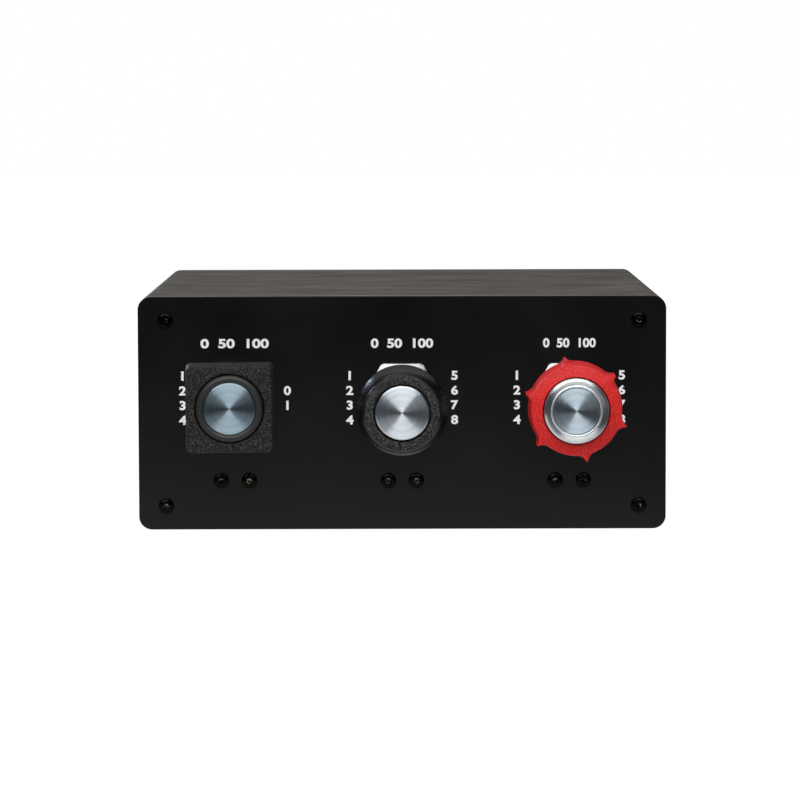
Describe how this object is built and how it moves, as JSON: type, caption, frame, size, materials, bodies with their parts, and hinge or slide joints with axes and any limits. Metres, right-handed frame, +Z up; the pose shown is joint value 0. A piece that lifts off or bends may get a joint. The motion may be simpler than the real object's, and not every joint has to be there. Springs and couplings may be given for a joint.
{
  "type": "engine control quadrant",
  "caption": "Desktop engine control quadrant: square, round and lobed push-pull knobs on a black panel in a box-shaped timber case.",
  "frame": {"origin": "middle of the whole object at rest, on the surface that its feet stand on", "axes": "+Z up, the panel and its knobs face -Y, +X to the right of someone facing the panel"},
  "size_m": [0.21, 0.294, 0.0946],
  "materials": {
    "timber": "black-stained ash look, satin",
    "black_plate": "black anodised, satin",
    "black_oxide": "black oxide",
    "bright_steel": "bright nickel plate",
    "zinc_sheet": "zinc plated",
    "ground_rod": "ground and polished",
    "brass": "turned",
    "black_nylon": "textured face, smooth sides",
    "black_gloss": "smooth",
    "red_plastic": "fine textured face",
    "turned_aluminium": "turned, spun brushing",
    "spring_steel": "bright",
    "white_acetal": "moulded",
    "rubber": "matt",
    "phenolic": "moulded",
    "circuit_board": "solder mask",
    "component_black": "moulded",
    "lead_sheath": "smooth"
  },
  "bodies": {
    "root": {"case_sleeve": "timber", "front_panel": "black_plate", "rear_panel": "black_plate", "front_screws": "black_oxide", "rear_screws": "black_oxide", "bracket_screws": "black_oxide", "carb_nut": "bright_steel", "throttle_nut": "bright_steel", "mixture_nut": "bright_steel", "brass_inserts": "brass", "carb_bushing": "brass", "throttle_bushing": "brass", "mixture_bushing": "brass", "carb_bracket": "zinc_sheet", "throttle_bracket": "zinc_sheet", "mixture_bracket": "zinc_sheet", "bracket_nuts": "zinc_sheet", "lock_washers": "zinc_sheet", "potentiometer_screws": "zinc_sheet", "board_screws": "zinc_sheet", "data_socket": "zinc_sheet", "guide_bushes": "white_acetal", "board_pillars": "white_acetal", "case_feet": "rubber", "friction_rings": "rubber", "carb_potentiometer": "phenolic", "throttle_potentiometer": "phenolic", "mixture_potentiometer": "phenolic", "controller_chip": "component_black", "lead_plugs": "component_black", "controller_board": "circuit_board", "sensor_leads": "lead_sheath"},
    "carb": {"carb_rod": "ground_rod", "carb_collar": "white_acetal", "carb_lever": "component_black", "carb_knob": "black_nylon", "carb_trim_ring": "black_gloss", "carb_disc": "turned_aluminium", "carb_grub_screw": "black_oxide"},
    "throttle": {"throttle_rod": "ground_rod", "throttle_collar": "white_acetal", "throttle_lever": "component_black", "throttle_knob": "black_nylon", "throttle_disc": "turned_aluminium", "throttle_grub_screw": "black_oxide"},
    "mixture": {"mixture_rod": "ground_rod", "mixture_collar": "white_acetal", "mixture_lever": "component_black", "rod_clip": "spring_steel", "switch_carrier": "white_acetal", "release_switch": "component_black"},
    "mixture_knob": {"mixture_knob": "red_plastic", "mixture_bezel": "turned_aluminium", "button_spring": "spring_steel"},
    "mixture_button": {"mixture_button": "turned_aluminium", "release_pin": "spring_steel"}
  },
  "joints": [
    {"name": "carb_heat_slide", "type": "slide", "parent": "root", "child": "carb", "axis": [0, -1, 0], "range_m": [-0.018, 0.042]},
    {"name": "throttle_slide", "type": "slide", "parent": "root", "child": "throttle", "axis": [0, -1, 0], "range_m": [-0.039, 0.021]},
    {"name": "mixture_slide", "type": "slide", "parent": "root", "child": "mixture", "axis": [0, -1, 0], "range_m": [-0.031, 0.029]},
    {"name": "mixture_turn", "type": "hinge", "parent": "mixture", "child": "mixture_knob", "pos_m": [0.0665, -0.13867, 0.0542], "axis": [0, -1, 0], "continuous": true},
    {"name": "button_press", "type": "slide", "parent": "mixture_knob", "child": "mixture_button", "axis": [0, 1, 0], "range_m": [0, 0.0025], "stiffness_N_per_m": 500, "springref_m": -0.003, "deforming": ["button_spring"]}
  ]
}
